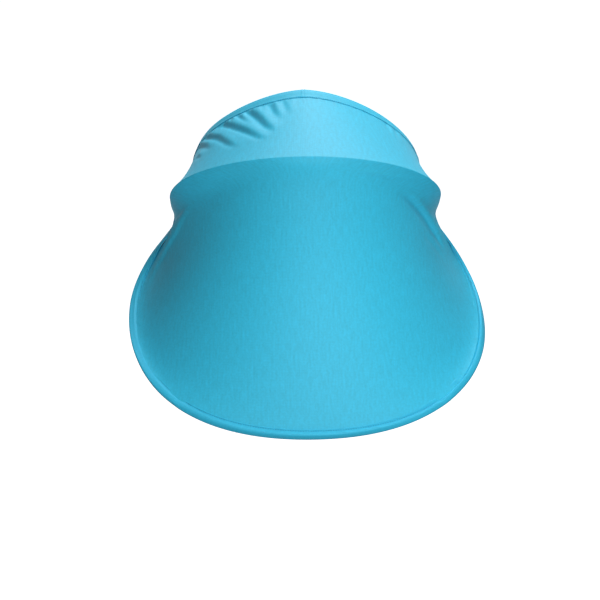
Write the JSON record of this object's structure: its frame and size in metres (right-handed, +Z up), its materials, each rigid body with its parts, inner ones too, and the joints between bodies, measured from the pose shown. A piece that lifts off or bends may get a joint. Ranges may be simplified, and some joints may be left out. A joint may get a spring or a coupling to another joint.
{
  "type": "pram sun shade",
  "caption": "Stretch-fabric pram sun shade: a sprung oval brim in front of a gathered sleeve that pulls over a pram's hood, with hook-and-loop straps under its sides.",
  "frame": {"origin": "middle of the sleeve's shoulder, where it is widest over the hood's front bow, on the plane of symmetry", "axes": "+X to the right seen from the front, +Y to the rear hem, +Z up; the brim points along -Y"},
  "size_m": [0.441, 0.4011, 0.2378],
  "materials": {
    "cloth": "matte stretch knit",
    "tape": "matte folded tape",
    "elastic": "woven cover",
    "spring_wire": "satin",
    "ferrule": "satin",
    "strap": "woven webbing",
    "hooks": "matte hook tape",
    "loops": "napped loop tape"
  },
  "bodies": {
    "hood_sleeve": {"sleeve_panel": "cloth", "hem_casing": "cloth", "hem_elastic": "elastic", "left_side_binding": "tape", "right_side_binding": "tape"},
    "brim": {"brim_panel": "cloth", "rim_binding": "tape", "rear_channel": "tape", "hoop_wire": "spring_wire", "hoop_ferrule": "ferrule"},
    "left_strap_body": {"left_strap": "strap", "left_hook_patch": "hooks", "left_loop_patch": "loops"},
    "right_strap_body": {"right_strap": "strap", "right_hook_patch": "hooks", "right_loop_patch": "loops"}
  },
  "joints": [
    {"name": "brim_tilt", "type": "hinge", "parent": "hood_sleeve", "child": "brim", "pos_m": [0, -0.05154, 0.07398], "axis": [-1, 0, 0], "range_deg": [0, 35]},
    {"name": "left_strap_swing", "type": "hinge", "parent": "hood_sleeve", "child": "left_strap_body", "pos_m": [-0.13802, 0.062, -0.04444], "axis": [-0.2934, -0.956, 0], "range_deg": [-40, 95]},
    {"name": "right_strap_swing", "type": "hinge", "parent": "hood_sleeve", "child": "right_strap_body", "pos_m": [0.14359, 0.062, -0.0444], "axis": [-0.1773, 0.9841, 0], "range_deg": [-40, 95]}
  ]
}
